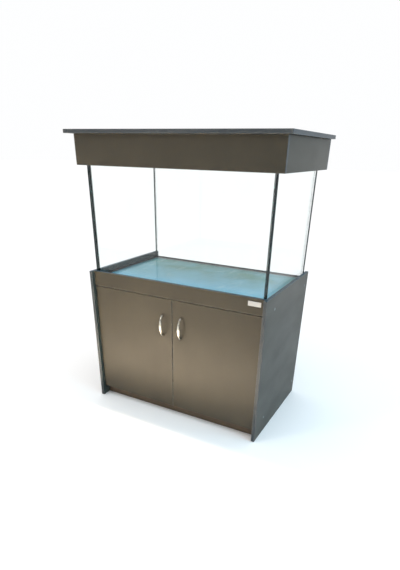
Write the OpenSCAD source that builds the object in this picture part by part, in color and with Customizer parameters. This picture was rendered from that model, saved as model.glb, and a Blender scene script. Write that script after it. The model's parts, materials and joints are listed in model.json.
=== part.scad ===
// Aquarium on a cabinet stand, with a lift-off hood and a hinged lid.
// X runs to the right, Y to the rear and Z up. The front faces -Y.
// The origin is on the floor, under the middle of the whole object's box.

/* [Cabinet] */
// Width over the two side panels
cab_w = 950; // [900:1:1000]
// Depth of the side panels
cab_d = 605; // [600:1:640]
// Height of the side panels, whose top stands up as a lip beside the tank
cab_h = 714; // [705:1:760]
// Thickness of the cabinet and hood boards
board = 16; // [15:0.5:18]
// How far the doors and the fascia lie behind the side panels' front edges
door_recess = 18; // [16:1:22]
// Height of the fascia rail above the doors
fascia_h = 74; // [72:1:80]
// Height of the doors' lower edge above the floor
door_bottom = 58; // [50:1:70]
// Gap round the doors
door_gap = 3; // [2.5:0.5:4]
// How far the plinth lies behind the side panels' front edges
plinth_recess = 52; // [52:1:60]
// Height of the floor board's underside
floor_z = 80; // [74:1:90]
// Height of the deck board's underside
deck_z = 643; // [641:1:644]
// Diameter of the hose and cable hole in the back panel
hose_hole_d = 60; // [50:1:70]

/* [Tank] */
// Outer width of the glass tank
tank_w = 914; // [866:1:914]
// Outer depth of the glass tank
tank_d = 550; // [500:1:552]
// Outer height of the glass tank
tank_h = 560; // [540:1:565]
// Thickness of the glass panes
glass = 10; // [8:1:12]
// Thickness of the silicone between two panes
seam = 1; // [0.5:0.5:2]
// Thickness of the polystyrene mat under the tank
mat_t = 20; // [15:1:20]
// Width of the glass strips that brace the rim
brace_w = 50; // [40:1:60]

/* [Hood and lid] */
// Outer width of the hood
hood_w = 985; // [980:1:990]
// Outer depth of the hood
hood_d = 608; // [604:1:612]
// Height of the hood's boards
hood_h = 123; // [120:1:140]
// Height of the hood's lower edge above the floor
hood_z = 1189; // [1180:1:1192]
// How far the lid reaches past the hood on each side
lid_side = 26.5; // [20:0.5:30]
// How far the lid reaches past the hood at the front
lid_front = 36; // [30:1:40]
// Depth of the fixed rail behind the lid
rail_d = 30.5; // [28:0.5:34]

/* [Handles] */
// Distance between a handle's two screws
handle_pitch = 102; // [96:1:110]
// How far a handle's middle line stands out from the door
handle_out = 28; // [25:1:32]
// Height of the handles' middle above the floor
handle_z = 504; // [480:1:520]
// Distance from the middle of the doors to each handle
handle_x = 51; // [40:1:60]

/* [Hidden] */
$fn = 48;

// Clearance cut round a screw, and the overlap that keeps a cut clean
slack = 0.05;
eps = 1;

// Where the whole object lies in depth: the lid is the foremost piece, and the rearmost is
// the cable grommet's lip on the hood
hood_front_gap = 8.5;
grommet_lip = 2;
lid_ahead = lid_front - hood_front_gap;
overall_d = lid_front + hood_d + grommet_lip;
cab_front = lid_ahead - overall_d / 2;
cab_rear = cab_front + cab_d;
hood_front = cab_front + hood_front_gap;
hood_rear = hood_front + hood_d;

// Cabinet
side_in = cab_w / 2 - board;
glide_h = 3;
glide_r = 7;
glide_inset = 30;
door_front = cab_front + door_recess;
fascia_rear = door_front + board;
fascia_z = cab_h - fascia_h;
door_top = fascia_z - door_gap;
plinth_front = cab_front + plinth_recess;
back_front = cab_rear - board;
bumper_t = 2;
bumper_r = 5;
bumper_x = 4.5;
divider_front = fascia_rear + bumper_t;
label_size = [60, 0.8, 21];
label_x = 413.5;
label_z = 688.5;

// Screws through the side panels into the deck and the floor board
screw_r = 2.5;
screw_head_r = 4.5;
screw_len = 45;
cap_r = 6;
cap_t = 0.6;
screw_ys = [cab_front + 110, cab_rear - 45];
screw_zs = [floor_z + board / 2, deck_z + board / 2];

// Tank
mat_z = deck_z + board;
tank_z = mat_z + mat_t;
tank_top = tank_z + tank_h;
tank_front = fascia_rear + 1.5;
tank_rear = tank_front + tank_d;
tank_mid = (tank_front + tank_rear) / 2;
wall_z = tank_z + glass + seam;
wall_h = tank_top - wall_z;
tank_x = tank_w / 2;
in_x = tank_x - glass;
bead = 5;
brace_drop = 17;
brace_z = tank_top - brace_drop - glass;
cross_w = 80;

// Hood and lid
hood_x = hood_w / 2;
hood_top = hood_z + hood_h;
lid_gap = 0.5;
lid_z = hood_top + lid_gap;
lid_top = hood_top + board;
rail_front = hood_rear - rail_d;
hinge_gap = 1.5;
lid_rear = rail_front - 2 * hinge_gap;
cleat_w = 32;
cleat_gap = 0.5;
cleat_z = tank_top + cleat_gap;
block = 20;
grommet_hole_r = 12.5;
grommet_bore_r = 8;
grommet_x = 380;
grommet_z = hood_z + 96;
hose_x = 300;
hose_z = 540;
hose_lip_r = hose_hole_d / 2 + 5;
hose_wall = 3;
hose_lip_t = 2;

// Butt hinges between the rail and the lid
knuckle_r = 2.9;
lid_pin_r = 1.5;
leaf_t = 1.6;
leaf_w = 25;
leaf_l = 76;
knuckles = 5;
knuckle_l = leaf_l / knuckles;
knuckle_play = 0.2;
hinge_y = rail_front - hinge_gap;
hinge_z = lid_top + knuckle_r + 0.1;
hinge_xs = [-340, 0, 340];
leaf_screws = [-27, 0, 27];
leaf_screw_y = 15;

// Lamp under the lid
lamp_l = 600;
lamp_w = 36;
lamp_h = 24;
tube_r = 13;
tube_z = lid_z - lamp_h - tube_r - 3;
holder_t = 14;

// Cup hinges of the doors: u runs from the side panel's inner face, v from the door's front face
cup_r = 17.5;
cup_u = door_gap + 21.5;
cup_v = 4;
cup_wall = 1;
cup_top = board - cup_v;
pin_v = 9;
pin_r = 2;
arm_h = 12.6;
arm_t = 3;
arm_path = [[cup_u, pin_v], [cup_u + 22, pin_v + 17], [cup_u + 9.5, pin_v + 29],
            [9, pin_v + 29], [6, pin_v + 31], [6, pin_v + 69]];
plate_t = 3;
plate_v = pin_v + 33;
plate_l = 40;
plate_w = 14;
plate_wing = 48;
plate_wing_w = 12;
plate_hole = 16;
lug_z = 6.5;
lug_t = 3;
hinge_zs = [door_bottom + 90, door_top - 90];
flange_t = 1;
flange_screw = 24;
flange_off = 6;

// Handles
foot_r = 7;
neck_r = 3.2;
belly_w = 7;
belly_t = 3.6;
handle_rings = 40;
handle_sides = 24;
handle_screw_r = 2;
handle_bite = 7;

graphite = [0.33, 0.31, 0.28];
graphite_side = [0.38, 0.41, 0.41];
dark_board = [0.22, 0.21, 0.20];
pane = [0.70, 0.86, 0.84, 0.35];
steel = [0.72, 0.73, 0.74];
chrome = [0.82, 0.82, 0.80];
clear_rubber = [0.80, 0.82, 0.80, 0.8];
white = [0.93, 0.93, 0.92];

// A box from its low corner to its high corner
module span(low, high) {
    translate(low) cube(high - low);
}

// The same thing on the left and on the right
module both_sides() {
    children();
    mirror([1, 0, 0]) children();
}

// A line of constant width through points, with round joints
module stroke(points, w) {
    for (i = [0 : len(points) - 2]) {
        d = points[i + 1] - points[i];
        translate(points[i]) rotate(atan2(d[1], d[0])) translate([0, -w / 2]) square([norm(d), w]);
        translate(points[i + 1]) circle(d = w, $fn = 32);
    }
}

// ---- Cabinet ----

// One carcass screw along +X, from the head's outer face at x = 0
module carcass_screw(extra = 0) {
    rotate([0, 90, 0]) {
        cylinder(r = screw_r + extra, h = screw_len + extra);
        cylinder(r1 = screw_head_r + extra, r2 = screw_r + extra, h = 4);
    }
}

// All the screws of the left side panel, with the clearance of their holes
module left_screws(extra = 0) {
    for (y = screw_ys)
        for (z = screw_zs)
            translate([-cab_w / 2, y, z]) carcass_screw(extra);
}

module side_panel() {
    difference() {
        span([-cab_w / 2, cab_front, glide_h], [-side_in, cab_rear, cab_h]);
        left_screws(slack);
    }
}

module left_side_panel() {
    color(graphite_side) side_panel();
}

module right_side_panel() {
    color(graphite_side) mirror([1, 0, 0]) side_panel();
}

module front_fascia() {
    color(graphite) span([-side_in, door_front, fascia_z], [side_in, fascia_rear, cab_h]);
}

module label_plate() {
    color(white)
        translate([label_x, door_front - label_size[1] / 2, label_z]) cube(label_size, center = true);
}

module deck_board() {
    color(dark_board)
        difference() {
            span([-side_in, fascia_rear, deck_z], [side_in, cab_rear, mat_z]);
            both_sides() left_screws(slack);
        }
}

module floor_board() {
    color(dark_board)
        difference() {
            span([-side_in, plinth_front, floor_z], [side_in, back_front, floor_z + board]);
            both_sides() left_screws(slack);
        }
}

module plinth() {
    color(graphite) span([-side_in, plinth_front, glide_h], [side_in, plinth_front + board, floor_z]);
}

module back_panel() {
    color(dark_board)
        difference() {
            span([-side_in, back_front, glide_h], [side_in, cab_rear, deck_z]);
            translate([hose_x, cab_rear + eps, hose_z]) rotate([90, 0, 0])
                cylinder(d = hose_hole_d, h = board + 2 * eps, $fn = 72);
        }
}

module hose_grommet() {
    color([0.08, 0.08, 0.08])
        translate([hose_x, cab_rear, hose_z]) rotate([90, 0, 0])
            difference() {
                union() {
                    cylinder(r = hose_hole_d / 2 - slack, h = board, $fn = 72);
                    translate([0, 0, -hose_lip_t]) cylinder(r = hose_lip_r, h = hose_lip_t, $fn = 72);
                }
                translate([0, 0, -hose_lip_t - eps])
                    cylinder(r = hose_hole_d / 2 - hose_wall, h = board + hose_lip_t + 2 * eps, $fn = 72);
            }
}

module centre_divider() {
    color(dark_board)
        span([-board / 2, divider_front, floor_z + board], [board / 2, back_front, deck_z]);
}

// Soft stops that the closed doors rest on
module door_bumpers() {
    color(clear_rubber)
        both_sides()
            for (z = hinge_zs)
                translate([bumper_x, divider_front, z]) rotate([90, 0, 0])
                    cylinder(r = bumper_r / 2, h = bumper_t - 0.2);
}

module carcass_screws() {
    color(steel) both_sides() left_screws();
}

// Thin stick-on discs over the screw heads
module screw_caps() {
    color([0.62, 0.66, 0.66])
        both_sides()
            for (y = screw_ys)
                for (z = screw_zs)
                    translate([-cab_w / 2 - cap_t, y, z]) rotate([0, 90, 0])
                        cylinder(r = cap_r, h = cap_t);
}

module floor_glides() {
    color([0.05, 0.05, 0.05])
        both_sides()
            for (y = [cab_front + glide_inset / 2, cab_front + cab_d / 2, cab_rear - glide_inset / 2])
                translate([board / 2 - cab_w / 2, y, 0]) cylinder(r = glide_r, h = glide_h);
}

// ---- Tank ----

module polystyrene_mat() {
    color([0.80, 0.90, 0.94]) span([-tank_x, tank_front, mat_z], [tank_x, tank_rear, tank_z]);
}

module tank_bottom_glass() {
    color(pane) span([-tank_x, tank_front, tank_z], [tank_x, tank_rear, tank_z + glass]);
}

module tank_front_glass() {
    color(pane) span([-tank_x, tank_front, wall_z], [tank_x, tank_front + glass, tank_top]);
}

module tank_back_glass() {
    color(pane) span([-tank_x, tank_rear - glass, wall_z], [tank_x, tank_rear, tank_top]);
}

module side_glass() {
    span([-tank_x, tank_front + glass + seam, wall_z], [-in_x, tank_rear - glass - seam, tank_top]);
}

module tank_left_glass() {
    color(pane) side_glass();
}

module tank_right_glass() {
    color(pane) mirror([1, 0, 0]) side_glass();
}

// One upright seam: the film between two panes and the bead in the inner corner
module corner_seam() {
    translate([-tank_x, tank_front + glass, wall_z]) {
        cube([glass, seam, wall_h]);
        translate([glass, 0, 0]) linear_extrude(wall_h) polygon([[0, 0], [bead, 0], [0, bead]]);
    }
}

module silicone_corner_seams() {
    color(clear_rubber)
        both_sides() {
            corner_seam();
            translate([0, 2 * tank_mid, 0]) mirror([0, 1, 0]) corner_seam();
        }
}

module silicone_bottom_seam() {
    color(clear_rubber)
        difference() {
            span([-tank_x, tank_front, tank_z + glass], [tank_x, tank_rear, wall_z]);
            span([-in_x + bead, tank_front + glass + bead, tank_z],
                 [in_x - bead, tank_rear - glass - bead, wall_z + eps]);
        }
}

module rim_brace() {
    span([-in_x + seam, tank_front + glass + seam, brace_z],
         [in_x - seam, tank_front + glass + seam + brace_w, brace_z + glass]);
}

module front_brace_glass() {
    color(pane) difference() {
        rim_brace();
        both_sides() corner_seam();
    }
}

module back_brace_glass() {
    color(pane) translate([0, 2 * tank_mid, 0]) mirror([0, 1, 0]) difference() {
        rim_brace();
        both_sides() corner_seam();
    }
}

module cross_brace_glass() {
    color(pane)
        span([-cross_w / 2, tank_front + glass + seam, brace_z + glass + seam],
             [cross_w / 2, tank_rear - glass - seam, brace_z + 2 * glass + seam]);
}

// Silicone behind the two rim braces and under the cross brace's ends
module silicone_brace_pads() {
    color(clear_rubber)
        for (side = [0, 1])
            translate([0, side * 2 * tank_mid, 0]) mirror([0, side, 0]) {
                span([-in_x + bead, tank_front + glass, brace_z],
                     [in_x - bead, tank_front + glass + seam, brace_z + glass]);
                span([-cross_w / 2, tank_front + glass + seam, brace_z + glass],
                     [cross_w / 2, tank_front + glass + seam + brace_w, brace_z + glass + seam]);
            }
}

// ---- Door hinges ----

// Puts its children at each hinge of the left door, in the hinge's own u, v, z axes
module at_left_hinges() {
    for (z = hinge_zs)
        translate([-side_in, door_front, z]) children();
}

module hinge_plate() {
    difference() {
        union() {
            translate([0, plate_v, -plate_w / 2]) cube([plate_t, plate_l, plate_w]);
            translate([0, plate_v, -plate_wing / 2]) cube([plate_t, plate_wing_w, plate_wing]);
        }
        for (z = [-plate_hole, plate_hole])
            translate([-eps, plate_v + plate_wing_w / 2, z]) rotate([0, 90, 0])
                cylinder(r = 2, h = plate_t + 2 * eps);
    }
}

module hinge_arm() {
    difference() {
        translate([0, 0, -arm_h / 2]) linear_extrude(arm_h) {
            stroke(arm_path, arm_t);
            translate([cup_u, pin_v]) circle(r = pin_r + 1.6);
            translate([plate_t, plate_v]) square([6, plate_l - 4]);
        }
        translate([cup_u, pin_v, -arm_h]) cylinder(r = pin_r + slack / 5, h = 2 * arm_h);
    }
}

module left_hinge_plates() {
    color(steel) at_left_hinges() hinge_plate();
}

module right_hinge_plates() {
    color(steel) mirror([1, 0, 0]) at_left_hinges() hinge_plate();
}

module left_hinge_arms() {
    color(steel) at_left_hinges() hinge_arm();
}

module right_hinge_arms() {
    color(steel) mirror([1, 0, 0]) at_left_hinges() hinge_arm();
}

module door_hinge_pins() {
    color(chrome)
        both_sides()
            at_left_hinges()
                translate([cup_u, pin_v, -lug_z - lug_t]) cylinder(r = pin_r, h = 2 * (lug_z + lug_t));
}

// The screws of the mounting plates, with their heads, and the two that hold each arm
module hinge_screws() {
    color(steel)
        both_sides()
            at_left_hinges() {
                for (z = [-plate_hole, plate_hole])
                    translate([0, plate_v + plate_wing_w / 2, z]) rotate([0, 90, 0]) {
                        cylinder(r = 2 - slack, h = plate_t);
                        translate([0, 0, plate_t]) cylinder(r = 3.5, h = 1.5);
                    }
                for (v = [plate_v + 10, plate_v + 28])
                    translate([plate_t + 6, v, 0]) rotate([0, 90, 0]) cylinder(r = 3, h = 1.5);
            }
}

module hinge_cup() {
    difference() {
        union() {
            translate([cup_u, cup_v, 0]) rotate([-90, 0, 0]) cylinder(r = cup_r, h = cup_top, $fn = 64);
            translate([cup_u - 12, board, -12]) cube([24, flange_t, 24]);
            translate([cup_u - 2, board, -flange_screw - 6]) cube([16, flange_t, 2 * flange_screw + 12]);
        }
        translate([cup_u, cup_v + cup_wall, 0]) rotate([-90, 0, 0])
            cylinder(r = cup_r - cup_wall, h = board, $fn = 64);
        for (z = [-flange_screw, flange_screw])
            translate([cup_u + flange_off, board - eps, z]) rotate([-90, 0, 0])
                cylinder(r = 1.8, h = flange_t + 2 * eps);
    }
    for (z = [lug_z, -lug_z - lug_t])
        difference() {
            translate([cup_u - 4.5, cup_v + cup_wall, z]) cube([9, pin_v - cup_v + 3.5, lug_t]);
            translate([cup_u, pin_v, z - eps]) cylinder(r = pin_r + slack, h = lug_t + 2 * eps);
        }
}

// ---- Doors ----

// The left door's inner edge lies half a gap from the middle
module door_board_left() {
    difference() {
        span([door_gap - side_in, door_front, door_bottom],
             [-door_gap / 2, door_front + board, door_top]);
        at_left_hinges()
            translate([cup_u, cup_v - slack, 0]) rotate([-90, 0, 0])
                cylinder(r = cup_r + slack, h = board, $fn = 64);
        at_left_hinges()
            for (z = [-flange_screw, flange_screw])
                translate([cup_u + flange_off, board - 10, z]) rotate([-90, 0, 0])
                    cylinder(r = 1.5 + slack, h = 10 + eps);
        for (z = [-handle_pitch / 2, handle_pitch / 2])
            translate([-handle_x, door_front - eps, handle_z + z]) rotate([-90, 0, 0])
                cylinder(r = handle_screw_r + slack, h = board + 2 * eps);
    }
}

// Handle screws from behind, and the screws of the cup flanges
module door_screws_left() {
    for (z = [-handle_pitch / 2, handle_pitch / 2])
        translate([-handle_x, door_front, handle_z + z]) rotate([-90, 0, 0]) {
            translate([0, 0, -handle_bite]) cylinder(r = handle_screw_r, h = handle_bite + board);
            translate([0, 0, board]) cylinder(r = 4, h = 2.4);
        }
    at_left_hinges()
        for (z = [-flange_screw, flange_screw])
            translate([cup_u + flange_off, board + flange_t, z]) rotate([-90, 0, 0]) {
                cylinder(r = 3.5, h = 1.4);
                translate([0, 0, -9]) cylinder(r = 1.5, h = 9);
            }
}

// A handle's middle line: a flat arc that ends square on the door. t runs from 0 to 1.
function handle_along(t) = handle_pitch / 2 * (t < 0.5 ? -1 : 1) * (1 - pow(1 - abs(2 * t - 1), 1.5));
function handle_off(t) = -handle_out * pow(sin(180 * t), 0.55);
function foot_share(t) = pow(abs(2 * t - 1), 5);
function belly_share(t) = pow(sin(180 * t), 4);
function handle_half(t, belly) =
    neck_r + (foot_r - neck_r) * foot_share(t) + (belly - neck_r) * belly_share(t);
function handle_mid(t) = [0, handle_off(t), handle_along(t)];
function unit(v) = v / norm(v);
function handle_dir(t) =
    t <= 0 ? [0, -1, 0] : t >= 1 ? [0, 1, 0] : unit(handle_mid(t + 0.01) - handle_mid(t - 0.01));
function handle_ring(t) =
    let (c = handle_mid(t), d = handle_dir(t), n = cross([1, 0, 0], d))
    [for (k = [0 : handle_sides - 1])
        let (a = 360 * k / handle_sides)
        c + [handle_half(t, belly_w) * cos(a), 0, 0] + n * handle_half(t, belly_t) * sin(a)];

module bow_handle() {
    n = handle_sides;
    rings = [for (i = [0 : handle_rings]) handle_ring(i / handle_rings)];
    points = [for (ring = rings) each ring];
    sides = [for (i = [0 : handle_rings - 1]) for (k = [0 : n - 1])
        [i * n + k, i * n + (k + 1) % n, (i + 1) * n + (k + 1) % n, (i + 1) * n + k]];
    first_cap = [for (k = [n - 1 : -1 : 0]) k];
    last_cap = [for (k = [0 : n - 1]) handle_rings * n + k];
    polyhedron(points, concat([first_cap], sides, [last_cap]), convexity = 6);
}

module left_door_board() {
    color(graphite) door_board_left();
}

module right_door_board() {
    color(graphite) mirror([1, 0, 0]) door_board_left();
}

module left_hinge_cups() {
    color(steel) at_left_hinges() hinge_cup();
}

module right_hinge_cups() {
    color(steel) mirror([1, 0, 0]) at_left_hinges() hinge_cup();
}

module left_handle() {
    color(chrome) translate([-handle_x, door_front, handle_z]) bow_handle();
}

module right_handle() {
    color(chrome) translate([handle_x, door_front, handle_z]) bow_handle();
}

module left_door_screws() {
    color(steel) door_screws_left();
}

module right_door_screws() {
    color(steel) mirror([1, 0, 0]) door_screws_left();
}

// ---- Hood ----

module hood_front_board() {
    color(graphite) span([-hood_x, hood_front, hood_z], [hood_x, hood_front + board, hood_top]);
}

module hood_back_board() {
    color(graphite)
        difference() {
            span([-hood_x, hood_rear - board, hood_z], [hood_x, hood_rear, hood_top]);
            translate([grommet_x, hood_rear + eps, grommet_z]) rotate([90, 0, 0])
                cylinder(r = grommet_hole_r, h = board + 2 * eps);
            rail_screw_set(slack);
        }
}

module hood_side() {
    span([-hood_x, hood_front + board, hood_z], [board - hood_x, hood_rear - board, hood_top]);
}

module hood_left_board() {
    color(graphite_side) hood_side();
}

module hood_right_board() {
    color(graphite_side) mirror([1, 0, 0]) hood_side();
}

module hood_rear_rail() {
    color(graphite)
        difference() {
            span([-hood_x, rail_front, hood_top], [hood_x, hood_rear, lid_top]);
            rail_screw_set(slack);
        }
}

// Countersunk screws through the rail into the hood's back board
module rail_screw_set(extra = 0) {
    for (x = [-450, -170, 170, 450])
        translate([x, hood_rear - board / 2, lid_top]) mirror([0, 0, 1]) {
            cylinder(r = 2 + extra, h = 40 + extra);
            cylinder(r1 = 4 + extra, r2 = 2 + extra, h = 2.5);
        }
}

// The low round heads that hold one leaf down, towards +Y of the hinge line
module leaf_screw_heads() {
    for (x = leaf_screws)
        translate([x, leaf_screw_y, leaf_t - knuckle_r - 0.1]) cylinder(r1 = 3, r2 = 2, h = 1);
}

module rail_screws() {
    color(steel) {
        rail_screw_set();
        at_lid_hinges() leaf_screw_heads();
    }
}

// Strips inside the hood's sides, which rest on the tank's rim
module hood_rest_cleats() {
    color(dark_board)
        both_sides()
            span([board - hood_x, hood_front + board, cleat_z],
                 [board - hood_x + cleat_w, hood_rear - board, cleat_z + board]);
}

// Square blocks that tie the hood's corners together, above the cleats
module hood_corner_blocks() {
    color(dark_board)
        both_sides()
            for (y = [hood_front + board, hood_rear - board - block])
                translate([board - hood_x, y, cleat_z + board])
                    cube([block, block, hood_top - cleat_z - board]);
}

module cable_grommet() {
    color([0.06, 0.06, 0.06])
        translate([grommet_x, hood_rear, grommet_z]) rotate([90, 0, 0])
            difference() {
                union() {
                    cylinder(r = grommet_hole_r - slack, h = board);
                    for (z = [-grommet_lip, board])
                        translate([0, 0, z]) cylinder(r = grommet_hole_r + 3, h = grommet_lip);
                }
                translate([0, 0, -grommet_lip - eps])
                    cylinder(r = grommet_bore_r, h = board + 2 * (grommet_lip + eps));
            }
}

// ---- Lid ----

// Barrel pieces of one leaf: every second one, from the given one
module knuckle_row(first) {
    for (i = [first : 2 : knuckles - 1])
        translate([i * knuckle_l - leaf_l / 2 + knuckle_play / 2, 0, 0]) {
            rotate([0, 90, 0]) cylinder(r = knuckle_r, h = knuckle_l - knuckle_play, $fn = 32);
            translate([0, 0, -knuckle_r - 0.1])
                cube([knuckle_l - knuckle_play, knuckle_r + 1, leaf_t]);
        }
}

// One leaf that lies towards +Y of the hinge line
module hinge_leaf(first) {
    difference() {
        union() {
            knuckle_row(first);
            translate([-leaf_l / 2, knuckle_r + 0.4, -knuckle_r - 0.1])
                cube([leaf_l, leaf_w - knuckle_r, leaf_t]);
        }
        translate([-leaf_l, 0, 0]) rotate([0, 90, 0])
            cylinder(r = lid_pin_r + slack, h = 2 * leaf_l, $fn = 32);
    }
}

module at_lid_hinges() {
    for (x = hinge_xs)
        translate([x, hinge_y, hinge_z]) children();
}

module rail_hinge_leaves() {
    color(steel) at_lid_hinges() hinge_leaf(0);
}

module lid_hinge_leaves() {
    color(steel) at_lid_hinges() mirror([0, 1, 0]) hinge_leaf(1);
}

module lid_hinge_pins() {
    color(chrome)
        at_lid_hinges()
            translate([-leaf_l / 2, 0, 0]) rotate([0, 90, 0]) cylinder(r = lid_pin_r, h = leaf_l);
}

module lid_hinge_screws() {
    color(steel) at_lid_hinges() mirror([0, 1, 0]) leaf_screw_heads();
}

module lid_board() {
    color(graphite)
        span([-hood_x - lid_side, hood_front - lid_front, lid_z], [hood_x + lid_side, lid_rear, lid_top]);
}

module lamp_batten() {
    color(white)
        translate([-lamp_l / 2, tank_mid - lamp_w / 2, lid_z - lamp_h]) cube([lamp_l, lamp_w, lamp_h]);
}

module lamp_holders() {
    color(white)
        both_sides()
            difference() {
                translate([-lamp_l / 2 - holder_t, tank_mid - lamp_w / 2, tube_z - tube_r])
                    cube([holder_t, lamp_w, lid_z - tube_z + tube_r]);
                translate([-lamp_l / 2 - 4, tank_mid, tube_z]) rotate([0, 90, 0])
                    cylinder(r = tube_r + slack, h = holder_t);
            }
}

module lamp_tube() {
    color([0.98, 0.98, 0.96])
        translate([-lamp_l / 2 - 4, tank_mid, tube_z]) rotate([0, 90, 0])
            cylinder(r = tube_r, h = lamp_l + 8);
}

left_side_panel();
right_side_panel();
front_fascia();
label_plate();
deck_board();
floor_board();
plinth();
back_panel();
centre_divider();
door_bumpers();
carcass_screws();
screw_caps();
floor_glides();
hose_grommet();
polystyrene_mat();
tank_bottom_glass();
tank_front_glass();
tank_back_glass();
tank_left_glass();
tank_right_glass();
silicone_corner_seams();
silicone_bottom_seam();
front_brace_glass();
back_brace_glass();
cross_brace_glass();
silicone_brace_pads();
left_hinge_plates();
right_hinge_plates();
left_hinge_arms();
right_hinge_arms();
door_hinge_pins();
hinge_screws();
left_door_board();
left_hinge_cups();
left_handle();
left_door_screws();
right_door_board();
right_hinge_cups();
right_handle();
right_door_screws();
hood_front_board();
hood_back_board();
hood_left_board();
hood_right_board();
hood_rear_rail();
hood_rest_cleats();
hood_corner_blocks();
cable_grommet();
rail_hinge_leaves();
lid_hinge_pins();
rail_screws();
lid_board();
lid_hinge_leaves();
lid_hinge_screws();
lamp_batten();
lamp_holders();
lamp_tube();
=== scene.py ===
"""Looks of an aquarium on a cabinet stand, with a hood and a hinged lid.

Every board, pane and handle, the mat, the label and the lamp's body are pieces of their own, and
each takes the place of its CAD node. Screws, hinges, seams and other small fittings keep their CAD
shape and get a finish. Units are metres, with X to the right, Y to the rear and Z up.
"""

import json
import math

import bmesh
import bpy
from mathutils import Matrix, Vector


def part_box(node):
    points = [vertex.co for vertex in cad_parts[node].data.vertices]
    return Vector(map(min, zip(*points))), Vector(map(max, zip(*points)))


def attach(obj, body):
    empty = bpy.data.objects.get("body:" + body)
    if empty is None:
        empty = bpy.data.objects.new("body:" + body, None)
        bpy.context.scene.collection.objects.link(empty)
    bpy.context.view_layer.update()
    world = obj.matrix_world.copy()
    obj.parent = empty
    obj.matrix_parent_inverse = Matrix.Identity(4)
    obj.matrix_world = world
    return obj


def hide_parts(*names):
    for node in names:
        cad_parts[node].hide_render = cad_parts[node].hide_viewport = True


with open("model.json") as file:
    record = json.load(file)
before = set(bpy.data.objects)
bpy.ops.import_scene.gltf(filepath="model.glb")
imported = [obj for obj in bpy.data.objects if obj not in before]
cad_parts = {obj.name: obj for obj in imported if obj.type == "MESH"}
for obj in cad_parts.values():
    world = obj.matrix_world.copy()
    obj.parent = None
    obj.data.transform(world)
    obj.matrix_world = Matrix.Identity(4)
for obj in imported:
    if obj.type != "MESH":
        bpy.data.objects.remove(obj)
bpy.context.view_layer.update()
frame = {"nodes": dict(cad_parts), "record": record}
RECORD = frame["record"]
BODY_OF = {n: body for body, nodes in RECORD["behaviour"]["bodies"].items() for n in nodes}
SLOT_OF = {s["node"]: s["material_slot"] for s in RECORD["subparts"]}
MM = 0.001

# ---- Camera, light and floor ----

# The photograph's viewpoint, with its angles in degrees and the lens in millimetres
CAMERA_PLACE = (1.0428, -1.9449, 1.2560)
CAMERA_AZIMUTH = 27.90
CAMERA_DOWN = 28.60
CAMERA_ROLL = 1.25
CAMERA_LENS = 27.13
CAMERA_SHIFT = 0.1754
FAR_CLIP = 60

SKY_COLOUR = (0.99, 0.995, 1.0, 1)
SUN_STRENGTH = 0.6
SUN_SOFTNESS = math.radians(40)
SUN_LEAN = (math.radians(12), math.radians(8), 0)
FLOOR_SIZE = 80

# Each lamp's name, place, aim, size, watts, colour, and whether glass and chrome mirror it
AREA_LAMPS = (
    ("floor_wash", (-0.30, -0.80, 0.33), (-0.30, -1.07, 0), (1.35, 0.3), 74, (1.0, 0.80, 0.57), False),
    ("side_lamp", (3.2, -0.4, 1.5), (0.48, 0, 0.5), (2.0, 2.0), 52, (0.02, 0.62, 1.0), False),
    ("key_lamp", (-2.2, -3.2, 2.6), (0, 0, 0.7), (0.7, 0.7), 30, (1.0, 0.93, 0.82), True),
)


def make_camera():
    """A look down from the front right, with the lens shifted up as in the photograph."""
    data = bpy.data.cameras.new("camera")
    data.lens = CAMERA_LENS
    data.shift_y = CAMERA_SHIFT
    data.clip_end = FAR_CLIP
    cam = bpy.data.objects.new("camera", data)
    bpy.context.collection.objects.link(cam)
    a, e = math.radians(CAMERA_AZIMUTH), math.radians(CAMERA_DOWN)
    ahead = Vector((-math.sin(a) * math.cos(e), math.cos(a) * math.cos(e), -math.sin(e)))
    turn = ahead.to_track_quat("-Z", "Y").to_matrix()
    roll = Matrix.Rotation(math.radians(CAMERA_ROLL), 3, "Z")
    cam.matrix_world = Matrix.Translation(CAMERA_PLACE) @ (turn @ roll).to_4x4()
    bpy.context.scene.camera = cam


def hide_lamp(lamp, mirrored):
    """The camera doesn't see a lamp. Glass and chrome show it only if mirrored is true."""
    lamp.visible_camera = False
    lamp.visible_glossy = mirrored
    bpy.context.collection.objects.link(lamp)


def make_area_lamp(name, place, aim, size, power, colour, mirrored):
    data = bpy.data.lights.new(name, "AREA")
    data.shape = "RECTANGLE"
    data.size, data.size_y = size
    data.energy = power
    data.color = colour
    lamp = bpy.data.objects.new(name, data)
    lamp.location = place
    lamp.rotation_euler = (Vector(aim) - Vector(place)).to_track_quat("-Z", "Y").to_euler()
    hide_lamp(lamp, mirrored)


def make_high_lamp():
    """A broad, weak sun that fills the shadows from above."""
    sun = bpy.data.lights.new("high_lamp", "SUN")
    sun.energy = SUN_STRENGTH
    sun.angle = SUN_SOFTNESS
    lamp = bpy.data.objects.new("high_lamp", sun)
    lamp.rotation_euler = SUN_LEAN
    hide_lamp(lamp, False)


def make_sky():
    world = bpy.data.worlds.new("studio")
    world.use_nodes = True
    sky = world.node_tree.nodes["Background"]
    sky.inputs["Color"].default_value = SKY_COLOUR
    sky.inputs["Strength"].default_value = 1.0
    bpy.context.scene.world = world
    bpy.context.scene.view_settings.view_transform = "Standard"


def make_floor():
    bpy.ops.mesh.primitive_plane_add(size=FLOOR_SIZE)
    floor = bpy.context.object
    floor.name = "studio_floor"
    floor.data.materials.append(floor_paint())


def make_studio():
    """A pale floor under an even pale sky, a warm wash on the floor in front and a cool side lamp."""
    make_sky()
    for lamp in AREA_LAMPS:
        make_area_lamp(*lamp)
    make_high_lamp()
    make_floor()


# ---- Shader helpers ----


def new_material(name):
    """A new material, its node tree and its Principled shader."""
    material = bpy.data.materials.new(name)
    material.use_nodes = True
    tree = material.node_tree
    return material, tree, tree.nodes["Principled BSDF"]


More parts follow.
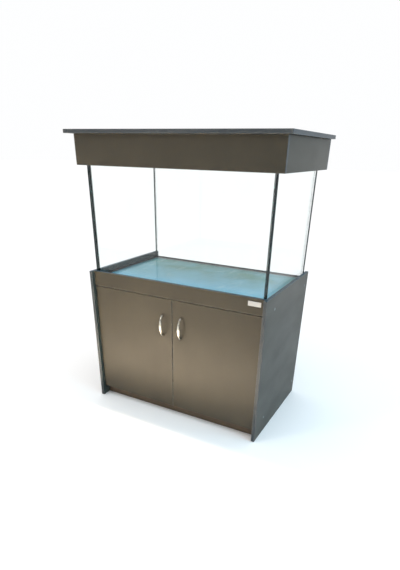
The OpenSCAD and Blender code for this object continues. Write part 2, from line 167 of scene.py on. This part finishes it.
def add(tree, kind, inputs=None, **settings):
    """One shader node. An input is a value or another node's output."""
    node = tree.nodes.new("ShaderNode" + kind)
    for key, value in settings.items():
        setattr(node, key, value)
    for key, value in (inputs or {}).items():
        if isinstance(value, bpy.types.NodeSocket):
            tree.links.new(value, node.inputs[key])
        else:
            node.inputs[key].default_value = value
    return node


def place_of(tree, scale=(1, 1, 1)):
    """The point on the piece, in metres, stretched along its axes."""
    spot = add(tree, "TexCoord").outputs["Object"]
    return add(tree, "Mapping", {"Vector": spot, "Scale": scale}).outputs[0]


def noise(tree, size, detail=2.0, stretch=(1, 1, 1), rough=0.5):
    """Noise from 0 to 1 whose lumps are about size metres across."""
    spot = place_of(tree, stretch)
    settings = {"Vector": spot, "Scale": 1 / size, "Detail": detail, "Roughness": rough}
    return add(tree, "TexNoise", settings).outputs[0]


def spread(tree, value, low, high, start=0.3, stop=0.7):
    """Maps a value from start..stop to low..high."""
    ranges = {"Value": value, "From Min": start, "From Max": stop, "To Min": low, "To Max": high}
    return add(tree, "MapRange", ranges).outputs[0]


def times(tree, a, b):
    return add(tree, "Math", {0: a, 1: b}, operation="MULTIPLY").outputs[0]


def blend(tree, share, a, b, kind="MIX"):
    """Mixes colour b over a. 0, 6 and 7 are the node's share and colour inputs, 2 its colour."""
    node = add(tree, "Mix", {0: share, 6: a, 7: b}, data_type="RGBA", blend_type=kind)
    return node.outputs[2]


def bump(tree, shader, height, depth, strength=0.5):
    """Makes the surface uneven by depth metres."""
    made = add(tree, "Bump", {"Height": height, "Distance": depth, "Strength": strength})
    tree.links.new(made.outputs[0], shader.inputs["Normal"])


def feed(tree, value, socket):
    tree.links.new(value, socket)


def shade_of(tree, level):
    """A grey whose level is another node's output."""
    return add(tree, "CombineColor", {0: level, 1: level, 2: level}).outputs[0]


def grey(level):
    return (level, level, level, 1)


# ---- Materials ----


def floor_paint():
    material, tree, shader = new_material("floor_paint")
    paint = blend(tree, noise(tree, 1.5), grey(0.90), grey(0.93))
    feed(tree, paint, shader.inputs["Base Color"])
    shader.inputs["Roughness"].default_value = 0.6
    return material


def laminate(name, dark, light, worn, smooth=0.30, dull=0.42):
    """Satin melamine: faint clouds, a fine pearl grain, wiped smears and rubbed edges."""
    material, tree, shader = new_material(name)
    clouds = blend(tree, spread(tree, noise(tree, 0.30, 1), 0, 1), dark, light)
    grain = spread(tree, noise(tree, 0.0012, 2), 0.93, 1.07)
    wiped = spread(tree, noise(tree, 0.09, 3, (1, 0.35, 0.4)), 0.96, 1.04)
    colour = blend(tree, 1.0, clouds, shade_of(tree, times(tree, wiped, grain)), "MULTIPLY")
    edge = add(tree, "Attribute", attribute_name="edge").outputs["Fac"]
    patches = spread(tree, noise(tree, 0.018, 4, rough=0.7), 0.15, 0.6, 0.42, 0.66)
    rubbed = times(tree, edge, patches)
    feed(tree, blend(tree, rubbed, colour, worn), shader.inputs["Base Color"])
    smears = spread(tree, noise(tree, 0.14, 3, (1, 0.35, 0.9)), smooth, dull)
    feed(tree, smears, shader.inputs["Roughness"])
    shader.inputs["IOR"].default_value = 1.23
    bump(tree, shader, noise(tree, 0.0016, 2), 0.00012, 0.35)
    return material


def particleboard():
    """The raw sawn edge of a board: packed chips in glue."""
    material, tree, shader = new_material("particleboard")
    chips = add(tree, "TexVoronoi", {"Vector": place_of(tree, (1, 1, 1.8)), "Scale": 420.0})
    fleck = add(tree, "SeparateColor", {0: chips.outputs["Color"]}).outputs[0]
    tan = blend(tree, fleck, (0.30, 0.19, 0.10, 1), (0.62, 0.46, 0.29, 1))
    glued = blend(tree, noise(tree, 0.012, 3), tan, (0.22, 0.14, 0.08, 1))
    feed(tree, glued, shader.inputs["Base Color"])
    shader.inputs["Roughness"].default_value = 0.9
    bump(tree, shader, chips.outputs["Distance"], 0.0004, 0.8)
    return material


def pane_glass():
    """The clear faces of a pane. Light goes straight through, and the surface mirrors at an angle."""
    material, tree, shader = new_material("pane_glass")
    tree.nodes.remove(shader)
    wiped = spread(tree, noise(tree, 0.12, 5, (1, 1, 0.5), 0.65), 0.982, 0.994)
    tint = add(tree, "CombineColor", {0: wiped, 1: 0.999, 2: 0.997}).outputs[0]
    through = add(tree, "BsdfTransparent", {"Color": tint})
    smear = spread(tree, noise(tree, 0.05, 4), 0.01, 0.05)
    mirror = add(tree, "BsdfGlossy", {"Color": (1, 1, 1, 1), "Roughness": smear})
    facing = add(tree, "LayerWeight", {"Blend": 0.5}).outputs["Facing"]
    grazing = add(tree, "Math", {0: facing, 1: 5.0}, operation="POWER").outputs[0]
    share = add(tree, "Math", {0: grazing, 1: 0.30, 2: 0.025}, operation="MULTIPLY_ADD").outputs[0]
    mixed = add(tree, "MixShader", {0: share, 1: through.outputs[0], 2: mirror.outputs[0]})
    feed(tree, mixed.outputs[0], tree.nodes["Material Output"].inputs["Surface"])
    return material


def pane_edge():
    """The sanded and polished edge of a pane: deep green and streaked, with painted highlight on its
    rounds.
    """
    material, tree, shader = new_material("pane_edge")
    streaks = spread(tree, noise(tree, 0.05, 4, (1, 1, 0.25)), 0, 1, 0.42, 0.66)
    deep = blend(tree, streaks, (0.0005, 0.004, 0.005, 1), (0.003, 0.014, 0.016, 1))
    edge = add(tree, "Attribute", attribute_name="edge").outputs["Fac"]
    # Painted highlight: patches of pale teal along the rounds
    painted_round_highlight = times(tree, edge, spread(tree, noise(tree, 0.03, 3), 0, 0.22))
    feed(tree, blend(tree, painted_round_highlight, deep, (0.20, 0.33, 0.33, 1)), shader.inputs["Base Color"])
    feed(tree, spread(tree, noise(tree, 0.006, 2), 0.06, 0.22), shader.inputs["Roughness"])
    shader.inputs["IOR"].default_value = 1.10
    bump(tree, shader, noise(tree, 0.002, 2), 0.00008, 0.4)
    return material


def silicone():
    """Cured sealant with a tooled surface, almost clear at the rear; painted shade darkens the front
    seams.
    """
    material, tree, shader = new_material("silicone")
    spot = add(tree, "SeparateXYZ", {0: add(tree, "TexCoord").outputs["Object"]})
    front = spread(tree, spot.outputs[1], 1.0, 0.0, -0.24, 0.10)
    cured = blend(tree, noise(tree, 0.02, 3), (0.05, 0.11, 0.115, 1), (0.12, 0.20, 0.20, 1))
    # Painted shade: near-black for the front seams, where the glass corners look dark
    painted_front_shade = blend(tree, noise(tree, 0.02, 3), (0.001, 0.010, 0.012, 1), (0.006, 0.030, 0.032, 1))
    feed(tree, blend(tree, front, cured, painted_front_shade), shader.inputs["Base Color"])
    feed(tree, spread(tree, noise(tree, 0.008, 2), 0.25, 0.45), shader.inputs["Roughness"])
    thick = spread(tree, noise(tree, 0.03, 2), 0.08, 0.16)
    alpha = add(tree, "Math", {0: front, 1: 0.50, 2: thick}, operation="MULTIPLY_ADD").outputs[0]
    feed(tree, alpha, shader.inputs["Alpha"])
    shader.inputs["IOR"].default_value = 1.15
    bump(tree, shader, noise(tree, 0.004, 2), 0.0002, 0.5)
    return material


def foam():
    """Light blue foam sheet: pressed beads, pale scuffs, and greener painted shade to the rear."""
    material, tree, shader = new_material("foam")
    settings = {"Vector": place_of(tree), "Scale": 240.0}
    beads = add(tree, "TexVoronoi", settings, feature="DISTANCE_TO_EDGE")
    rims = spread(tree, beads.outputs["Distance"], 0.90, 1.0, 0.0, 0.12)
    sky = blend(tree, noise(tree, 0.06, 5, rough=0.6), (0.22, 0.60, 0.86, 1), (0.33, 0.73, 0.94, 1))
    spot = add(tree, "SeparateXYZ", {0: add(tree, "TexCoord").outputs["Object"]})
    # Painted shade: patches darken and green the mat towards the rear, under the hood
    rear = spread(tree, spot.outputs[1], 0.0, 1.0, -0.20, 0.14)
    patches = spread(tree, noise(tree, 0.22, 5, rough=0.6), 0.5, 1.0, 0.35, 0.65)
    painted_rear_shade = blend(tree, times(tree, rear, patches), sky, (0.10, 0.29, 0.24, 1))
    scuffs = spread(tree, noise(tree, 0.05, 6, (1, 0.35, 1), 0.7), 0, 0.45, 0.56, 0.72)
    scuffed = blend(tree, scuffs, painted_rear_shade, (0.55, 0.78, 0.84, 1))
    specks = spread(tree, noise(tree, 0.007, 2), 0, 0.6, 0.70, 0.80)
    marked = blend(tree, specks, scuffed, (0.75, 0.85, 0.86, 1))
    colour = blend(tree, 1.0, marked, shade_of(tree, rims), "MULTIPLY")
    feed(tree, colour, shader.inputs["Base Color"])
    shader.inputs["Roughness"].default_value = 0.8
    bump(tree, shader, beads.outputs["Distance"], 0.0006, 0.5)
    return material


def chrome():
    """Bright plating, with darker patches of painted dark reflection."""
    material, tree, shader = new_material("chrome")
    # Painted reflection: the darker patches stand in for dark surroundings mirrored in the plating
    painted_dark_reflections = spread(tree, noise(tree, 0.012, 4, rough=0.6), 0, 1, 0.42, 0.58)
    plate = blend(tree, painted_dark_reflections, (0.33, 0.32, 0.28, 1), (0.56, 0.55, 0.50, 1))
    feed(tree, plate, shader.inputs["Base Color"])
    shader.inputs["Metallic"].default_value = 1.0
    feed(tree, spread(tree, noise(tree, 0.004, 4), 0.14, 0.28), shader.inputs["Roughness"])
    bump(tree, shader, noise(tree, 0.003, 3), 0.00005, 0.4)
    return material


def zinc():
    """Zinc-plated pressed steel, with fine drawn lines and dull spots."""
    material, tree, shader = new_material("zinc")
    lines = noise(tree, 0.0006, 2, (1, 1, 0.06))
    plate = blend(tree, lines, (0.52, 0.53, 0.54, 1), (0.70, 0.71, 0.72, 1))
    dull_spots = spread(tree, noise(tree, 0.006, 4), 0, 0.5)
    feed(tree, blend(tree, dull_spots, plate, (0.42, 0.42, 0.41, 1)), shader.inputs["Base Color"])
    shader.inputs["Metallic"].default_value = 1.0
    feed(tree, spread(tree, lines, 0.25, 0.42), shader.inputs["Roughness"])
    bump(tree, shader, lines, 0.00005, 0.4)
    return material


def moulded(name, dark, light, smooth, dull):
    """Moulded plastic or rubber: a fine grain with rubbed and dusty patches."""
    material, tree, shader = new_material(name)
    tone = blend(tree, noise(tree, 0.012, 4), dark, light)
    dust = spread(tree, noise(tree, 0.03, 5, rough=0.65), 0, 0.25, 0.5, 0.75)
    feed(tree, blend(tree, dust, tone, (0.40, 0.38, 0.35, 1)), shader.inputs["Base Color"])
    feed(tree, spread(tree, noise(tree, 0.005, 3), smooth, dull), shader.inputs["Roughness"])
    bump(tree, shader, noise(tree, 0.0012, 2), 0.0001, 0.5)
    return material


GRAPHITE = laminate(
    "graphite_laminate", (0.032, 0.029, 0.022, 1), (0.041, 0.037, 0.028, 1), (0.10, 0.10, 0.09, 1)
)
GRAPHITE_BAND = laminate(
    "graphite_edge_band", (0.032, 0.038, 0.043, 1), (0.044, 0.051, 0.057, 1), (0.10, 0.11, 0.115, 1),
    smooth=0.26, dull=0.38,
)
# The band round the tank: laminate painted blue, a painted reflection of the tank above it
PAINTED_REFLECTION_BAND = laminate(
    "top_edge_painted_reflection", (0.010, 0.034, 0.052, 1), (0.018, 0.050, 0.072, 1), (0.06, 0.12, 0.15, 1)
)
# Plinth: graphite laminate painted browner, standing in for warm light bounced up from the floor
KICK_BOARD_WARM_BOUNCE = laminate(
    "plinth_laminate_painted_warm_bounce", (0.064, 0.048, 0.033, 1), (0.082, 0.062, 0.043, 1), (0.12, 0.10, 0.085, 1)
)
# Carcass: dark grey laminate with a painted teal cast, standing in for light tinted by the green glass
CARCASS_TEAL_CAST = laminate(
    "carcass_laminate_painted_teal_cast", (0.028, 0.037, 0.036, 1), (0.038, 0.049, 0.047, 1), (0.08, 0.10, 0.10, 1)
)
RAW_EDGE = particleboard()
PANE = pane_glass()
PANE_EDGE = pane_edge()
SEALANT = silicone()
FOAM = foam()
CHROME = chrome()
ZINC = zinc()
BLACK_PLASTIC = moulded("black_plastic", (0.018, 0.018, 0.019, 1), (0.035, 0.034, 0.034, 1), 0.35, 0.55)
BLACK_RUBBER = moulded("black_rubber", (0.012, 0.012, 0.012, 1), (0.028, 0.027, 0.026, 1), 0.6, 0.8)
CAP_PLASTIC = moulded("cap_plastic", (0.10, 0.11, 0.11, 1), (0.14, 0.15, 0.15, 1), 0.35, 0.5)
LABEL_PLASTIC = moulded("label_plastic", (0.31, 0.315, 0.315, 1), (0.39, 0.395, 0.395, 1), 0.25, 0.4)
WHITE_ENAMEL = moulded("white_enamel", (0.78, 0.78, 0.75, 1), (0.86, 0.86, 0.84, 1), 0.2, 0.32)
FROSTED_TUBE = moulded("frosted_tube", (0.86, 0.87, 0.86, 1), (0.93, 0.93, 0.92, 1), 0.15, 0.25)

# ---- Shape helpers ----

# Where a round's edge loops lie, as shares of its radius: on the corner, halfway, and where the
# flat begins
ROUND_STEPS = (0.0, 1 - math.tan(math.radians(22.5)), 1.0)

# Radii of the rounds, and how far past a round the next edge loop lies
BAND_ROUND = 0.9 * MM
LID_ROUND = 1.1 * MM
BOARD_FADE = 3 * MM
PANE_ROUND = 0.7 * MM
PANE_FADE = 3.6 * MM
SOFT_FADE = 4 * MM

# How far in from a board's or a pane's edge the wear reaches
BOARD_WEAR = 4 * MM
PANE_WEAR = 2.5 * MM

# How far a cutter reaches past the face that it opens
CUT_PAST = 1 * MM
CUTTER_SIDES = 48


def stops(low, high, radius, fade):
    """The places along one axis where a rounded box has an edge loop."""
    near = [low + radius * s for s in ROUND_STEPS] + [low + radius + fade]
    far = [high - radius * s for s in ROUND_STEPS] + [high - radius - fade]
    return sorted(near + far)


def rounded_box(bm, low, high, radius, fade):
    """Adds a closed box with rounded edges to a mesh."""
    lines = []
    for a, b in zip(low, high):
        lines.append(stops(a, b, radius, min(fade, (b - a) / 2 - 1.3 * radius)))
    made = {}

    def corner(index):
        if index not in made:
            point = Vector([lines[i][index[i]] for i in range(3)])
            core = Vector([min(max(point[i], low[i] + radius), high[i] - radius) for i in range(3)])
            out = point - core
            made[index] = bm.verts.new(core + out.normalized() * radius if out.length > 0 else point)
        return made[index]

    for axis in range(3):
        u, v = (axis + 1) % 3, (axis + 2) % 3
        for side in (0, len(lines[axis]) - 1):
            for i in range(len(lines[u]) - 1):
                for j in range(len(lines[v]) - 1):
                    ring = []
                    for di, dj in ((0, 0), (1, 0), (1, 1), (0, 1)):
                        index = [0, 0, 0]
                        index[axis], index[u], index[v] = side, i + di, j + dj
                        ring.append(corner(tuple(index)))
                    bm.faces.new(ring if side else ring[::-1])


def finish_mesh(bm, name, sharp=35):
    """Turns a bmesh into an object with smooth rounds and crisp corners."""
    mesh = bpy.data.meshes.new(name)
    bm.to_mesh(mesh)
    bm.free()
    piece = bpy.data.objects.new(name, mesh)
    bpy.context.collection.objects.link(piece)
    mesh.shade_smooth()
    mesh.set_sharp_from_angle(angle=math.radians(sharp))
    return piece


def apply_modifiers(piece):
    """Leaves the modifiers' result as the piece's own mesh."""
    graph = bpy.context.evaluated_depsgraph_get()
    mesh = bpy.data.meshes.new_from_object(piece.evaluated_get(graph))
    piece.modifiers.clear()
    old = piece.data
    piece.data = mesh
    bpy.data.meshes.remove(old)


def level_normals(piece):
    """Keeps the large faces flat beside their small rounds."""
    piece.modifiers.new("level", "WEIGHTED_NORMAL").keep_sharp = True
    apply_modifiers(piece)


def cut(piece, cutter):
    """Takes one object's volume out of a piece."""
    knife = piece.modifiers.new("cut", "BOOLEAN")
    knife.operation, knife.solver, knife.object = "DIFFERENCE", "EXACT", cutter
    apply_modifiers(piece)
    bpy.data.objects.remove(cutter)


def cylinder_cutter(start, end, radius):
    start, end = Vector(start), Vector(end)
    way = end - start
    turn = way.to_track_quat("Z", "Y").to_matrix().to_4x4()
    place = Matrix.Translation((start + end) / 2) @ turn
    sizes = {"radius1": radius, "radius2": radius, "depth": way.length}
    bm = bmesh.new()
    bmesh.ops.create_cone(bm, cap_ends=True, segments=CUTTER_SIDES, matrix=place, **sizes)
    return finish_mesh(bm, "cutter")


def mark_edges(piece, low, high, width):
    """Writes the 'edge' attribute: 1 on the rounds of a box and 0 further in than width."""
    layer = piece.data.attributes.new("edge", "FLOAT", "POINT")
    for i, vertex in enumerate(piece.data.vertices):
        gaps = sorted(min(vertex.co[k] - low[k], high[k] - vertex.co[k]) for k in range(3))
        layer.data[i].value = max(0.0, 1 - gaps[1] / width)


def stand_for(piece, node):
    """A piece takes a CAD node's place and body."""
    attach(piece, BODY_OF[node])
    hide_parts(node)


# Each side's axis and direction
SIDES = {"-x": (0, -1), "+x": (0, 1), "-y": (1, -1), "+y": (1, 1), "-z": (2, -1), "+z": (2, 1)}

# A board's material slots
FACE, BAND, CORE, LINING, CROWN = range(5)

# How far a face must point to a side to count as its flat part, or as its flat part and rounds
FLAT = 0.9
FLAT_OR_ROUND = 0.3


def side_share(normal, sides):
    """How far a face points to the nearest of the named sides."""
    return max([normal[SIDES[s][0]] * SIDES[s][1] for s in sides], default=-1)


def board_slot(normal, banded, crown, raw, lined):
    """The material slot of a face. Bands wrap round a board's edges, the other finishes don't."""
    if side_share(normal, crown) > FLAT_OR_ROUND:
        return CROWN
    if side_share(normal, banded) > FLAT_OR_ROUND:
        return BAND
    if side_share(normal, raw) > FLAT:
        return CORE
    if side_share(normal, lined) > FLAT:
        return LINING
    return FACE


def make_board(
    node, face, banded=(), crown=(), raw=(), lined=(), holes=(), radius=BAND_ROUND, parts=None
):
    """A board with rounded edges, or several boards where parts gives their corners.

    Banded sides carry the edge band, and crown sides the band round the tank, blue with a painted
    reflection of the tank. Raw sides show the sawn core, and lined sides have the carcass finish,
    with its painted teal cast.
    """
    low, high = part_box(node)
    bm = bmesh.new()
    for part_low, part_high in parts or [(low, high)]:
        rounded_box(bm, part_low, part_high, radius, BOARD_FADE)
    piece = finish_mesh(bm, "board_" + node)
    for hole in holes:
        cut(piece, cylinder_cutter(*hole))
    if not parts:
        mark_edges(piece, low, high, BOARD_WEAR)
    for material in (face, GRAPHITE_BAND, RAW_EDGE, CARCASS_TEAL_CAST, PAINTED_REFLECTION_BAND):
        piece.data.materials.append(material)
    for polygon in piece.data.polygons:
        polygon.material_index = board_slot(polygon.normal, banded, crown, raw, lined)
    level_normals(piece)
    stand_for(piece, node)


def make_block(node, name, material, radius, fade=SOFT_FADE):
    """A rounded block in one material."""
    low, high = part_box(node)
    bm = bmesh.new()
    rounded_box(bm, low, high, radius, fade)
    piece = finish_mesh(bm, name)
    piece.data.materials.append(material)
    level_normals(piece)
    stand_for(piece, node)


def port_hole(board, grommet, lip):
    """The hole through a board for a grommet, which is wider than the hole by lip all round."""
    ring_low, ring_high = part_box(grommet)
    board_low, board_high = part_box(board)
    middle = (ring_low + ring_high) / 2
    start = (middle.x, board_low.y - CUT_PAST, middle.z)
    end = (middle.x, board_high.y + CUT_PAST, middle.z)
    return start, end, (ring_high.x - ring_low.x) / 2 - lip


# ---- Cabinet ----

HOSE_LIP = 5 * MM
LABEL_ROUND = 0.35 * MM
LABEL_FADE = 1.5 * MM
CUP_RADIUS = 17.55 * MM
CUP_DEPTH = 12.05 * MM


def make_cabinet():
    for node, inner in (("left_side_panel", "+x"), ("right_side_panel", "-x")):
        make_board(node, GRAPHITE, banded=("-y", "+y"), crown=("+z",), raw=("-z",), lined=(inner,))
    make_board("front_fascia", GRAPHITE, banded=("-z",), crown=("+z",), raw=("-x", "+x"))
    make_board("plinth", KICK_BOARD_WARM_BOUNCE, banded=("-z",), raw=("-x", "+x", "+z"))
    make_board("deck_board", CARCASS_TEAL_CAST, banded=("+y",), raw=("-x", "+x", "-y"))
    make_board("floor_board", CARCASS_TEAL_CAST, banded=("-y",), raw=("-x", "+x", "+y"))
    make_board("centre_divider", CARCASS_TEAL_CAST, banded=("-y",), raw=("+y", "+z", "-z"))
    hose_port = port_hole("back_panel", "hose_grommet", HOSE_LIP)
    make_board("back_panel", CARCASS_TEAL_CAST, banded=("-z",), raw=("-x", "+x", "+z"), holes=[hose_port])


def solids_of(node):
    """The low and high corners of each separate solid in a CAD node."""
    bm = bmesh.new()
    bm.from_mesh(frame["nodes"][node].data)
    bmesh.ops.remove_doubles(bm, verts=bm.verts, dist=1e-6)
    unseen, boxes = set(bm.verts), []
    while unseen:
        group, frontier = set(), [unseen.pop()]
        while frontier:
            vertex = frontier.pop()
            group.add(vertex)
            near = [e.other_vert(vertex) for e in vertex.link_edges]
            frontier += [v for v in near if v in unseen]
            unseen.difference_update(near)
        low = Vector([min(v.co[k] for v in group) for k in range(3)])
        high = Vector([max(v.co[k] for v in group) for k in range(3)])
        boxes.append((low, high))
    bm.free()
    return sorted(boxes, key=lambda b: (round(b[0].z, 4), round(b[0].x, 4)))


def make_doors():
    """Both doors, each with the bored seats of its hinge cups."""
    for side in ("left", "right"):
        low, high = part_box(side + "_door_board")
        holes = []
        for cup_low, cup_high in solids_of(side + "_hinge_cups"):
            x = cup_low.x + CUP_RADIUS if side == "left" else cup_high.x - CUP_RADIUS
            z = (cup_low.z + cup_high.z) / 2
            holes.append(((x, high.y - CUP_DEPTH, z), (x, high.y + CUT_PAST, z), CUP_RADIUS))
        make_board(side + "_door_board", GRAPHITE, banded=("-x", "+x"), holes=holes)


# ---- Handles ----

HANDLE_RINGS = 96
HANDLE_SIDES = 36
HANDLE_SHARP = 50
RING_STEP = 0.008
HANDLE_PITCH = 102 * MM
HANDLE_OUT = 28 * MM

# Half the bow's size at its feet, its necks and its belly
FOOT = 7 * MM
NECK = 3.2 * MM
BELLY_WIDE = 7 * MM
BELLY_THICK = 3.6 * MM

# Powers that shape the bow: how soon it runs upright and stands out, and how short the feet and
# the belly are
UPRIGHT_POWER = 1.5
OUT_POWER = 0.55
FOOT_POWER = 5
BELLY_POWER = 4


def handle_mid(t):
    """The middle line of a bow handle, with t from 0 at the lower foot to 1 at the upper one."""
    along = HANDLE_PITCH / 2 * math.copysign(1 - (1 - abs(2 * t - 1)) ** UPRIGHT_POWER, t - 0.5)
    return Vector((0, -HANDLE_OUT * max(math.sin(math.pi * t), 0) ** OUT_POWER, along))


def handle_half(t, belly):
    """Half the bow's width or thickness, whose half at the belly is given."""
    foot_share = abs(2 * t - 1) ** FOOT_POWER
    belly_share = max(math.sin(math.pi * t), 0) ** BELLY_POWER
    return NECK + (FOOT - NECK) * foot_share + (belly - NECK) * belly_share


def handle_ahead(t):
    """The way the bow runs: straight out of one foot and straight into the other."""
    if t in (0, 1):
        return Vector((0, -1 if t == 0 else 1, 0))
    return (handle_mid(t + RING_STEP) - handle_mid(t - RING_STEP)).normalized()


def make_handle(side):
    """A bow of oval rings, cut off flat at the door's face."""
    node = side + "_handle"
    low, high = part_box(node)
    root = Vector(((low.x + high.x) / 2, high.y, (low.z + high.z) / 2))
    bm = bmesh.new()
    rings = []
    for i in range(HANDLE_RINGS + 1):
        t = i / HANDLE_RINGS
        across = Vector((1, 0, 0)).cross(handle_ahead(t))
        middle = root + handle_mid(t)
        wide, thick = handle_half(t, BELLY_WIDE), handle_half(t, BELLY_THICK)
        ring = []
        for k in range(HANDLE_SIDES):
            a = 2 * math.pi * k / HANDLE_SIDES
            point = middle + Vector((wide * math.cos(a), 0, 0)) + across * (thick * math.sin(a))
            point.y = min(point.y, root.y)
            ring.append(bm.verts.new(point))
        rings.append(ring)
    for a, b in zip(rings, rings[1:]):
        for k in range(HANDLE_SIDES):
            m = (k + 1) % HANDLE_SIDES
            bm.faces.new((a[k], a[m], b[m], b[k]))
    bm.faces.new(rings[0][::-1])
    bm.faces.new(rings[-1])
    bmesh.ops.recalc_face_normals(bm, faces=bm.faces)
    piece = finish_mesh(bm, "bow_handle_" + side, HANDLE_SHARP)
    piece.data.materials.append(CHROME)
    stand_for(piece, node)


# ---- Tank ----

# Each pane and the axis that its large faces look along
PANES = {
    "tank_bottom_glass": 2, "tank_front_glass": 1, "tank_back_glass": 1, "tank_left_glass": 0,
    "tank_right_glass": 0, "front_brace_glass": 2, "back_brace_glass": 2, "cross_brace_glass": 2,
}

# How much of a side pane's rear edge looks dark, from its outer face
RIM_SHADE = 4.35 * MM
MAT_ROUND = 1.5 * MM

# How far a face must point along an axis to count as flat on it
LEVEL = 0.95


def make_pane(node, axis):
    """A pane of clear faces and dark edges. A side pane's bonded rear edge is mostly clear."""
    low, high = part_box(node)
    outer = max(abs(low.x), abs(high.x))
    bm = bmesh.new()
    rounded_box(bm, low, high, PANE_ROUND, PANE_FADE)
    piece = finish_mesh(bm, "pane_" + node)
    mark_edges(piece, low, high, PANE_WEAR)
    piece.data.materials.append(PANE)
    piece.data.materials.append(PANE_EDGE)
    for polygon in piece.data.polygons:
        rear = axis == 0 and polygon.normal.y > LEVEL
        bonded = rear and abs(polygon.center.x) < outer - RIM_SHADE
        polygon.material_index = 0 if bonded or abs(polygon.normal[axis]) > LEVEL else 1
    level_normals(piece)
    stand_for(piece, node)


def make_tank():
    """The panes, and the foam mat that shows through the bottom one."""
    for node, axis in PANES.items():
        make_pane(node, axis)
    make_block("polystyrene_mat", "foam_mat", FOAM, MAT_ROUND)


# ---- Hood and lid ----

CABLE_LIP = 3 * MM
LAMP_ROUND = 2.5 * MM


def make_hood():
    make_board("hood_front_board", GRAPHITE, banded=("-z", "-x", "+x"), raw=("+z",))
    for node in ("hood_left_board", "hood_right_board"):
        make_board(node, GRAPHITE, banded=("-z",), raw=("-y", "+y", "+z"))
    make_board("hood_rear_rail", GRAPHITE, banded=("-x", "+x", "+y", "-y"))
    cable_port = port_hole("hood_back_board", "cable_grommet", CABLE_LIP)
    make_board(
        "hood_back_board", GRAPHITE, banded=("-z", "-x", "+x"), raw=("+z",), holes=[cable_port]
    )
    for node in ("hood_rest_cleats", "hood_corner_blocks"):
        make_board(node, CARCASS_TEAL_CAST, raw=("-y", "+y", "+z"), parts=solids_of(node))


def make_lid():
    make_board("lid_board", GRAPHITE, banded=("-x", "+x", "-y", "+y"), radius=LID_ROUND)
    make_block("lamp_batten", "lamp_body", WHITE_ENAMEL, LAMP_ROUND)


# ---- CAD nodes that keep their shape ----

# Their finish, by the material slot that the record gives them
NODE_FINISH = {
    "zinc_steel": ZINC,
    "bright_chrome": CHROME,
    "silicone": SEALANT,
    "black_plastic": BLACK_PLASTIC,
    "black_rubber": BLACK_RUBBER,
    "cap_plastic": CAP_PLASTIC,
    "lamp_white": WHITE_ENAMEL,
    "lamp_glass": FROSTED_TUBE,
}


def finish_nodes():
    """Gives its finish to every CAD node that still shows."""
    for node, piece in frame["nodes"].items():
        if SLOT_OF[node] in NODE_FINISH:
            for slot in piece.material_slots:
                slot.material = NODE_FINISH[SLOT_OF[node]]


make_camera()
make_studio()
make_cabinet()
make_doors()
make_handle("left")
make_handle("right")
make_tank()
make_hood()
make_lid()
make_block("label_plate", "blank_label", LABEL_PLASTIC, LABEL_ROUND, LABEL_FADE)
finish_nodes()
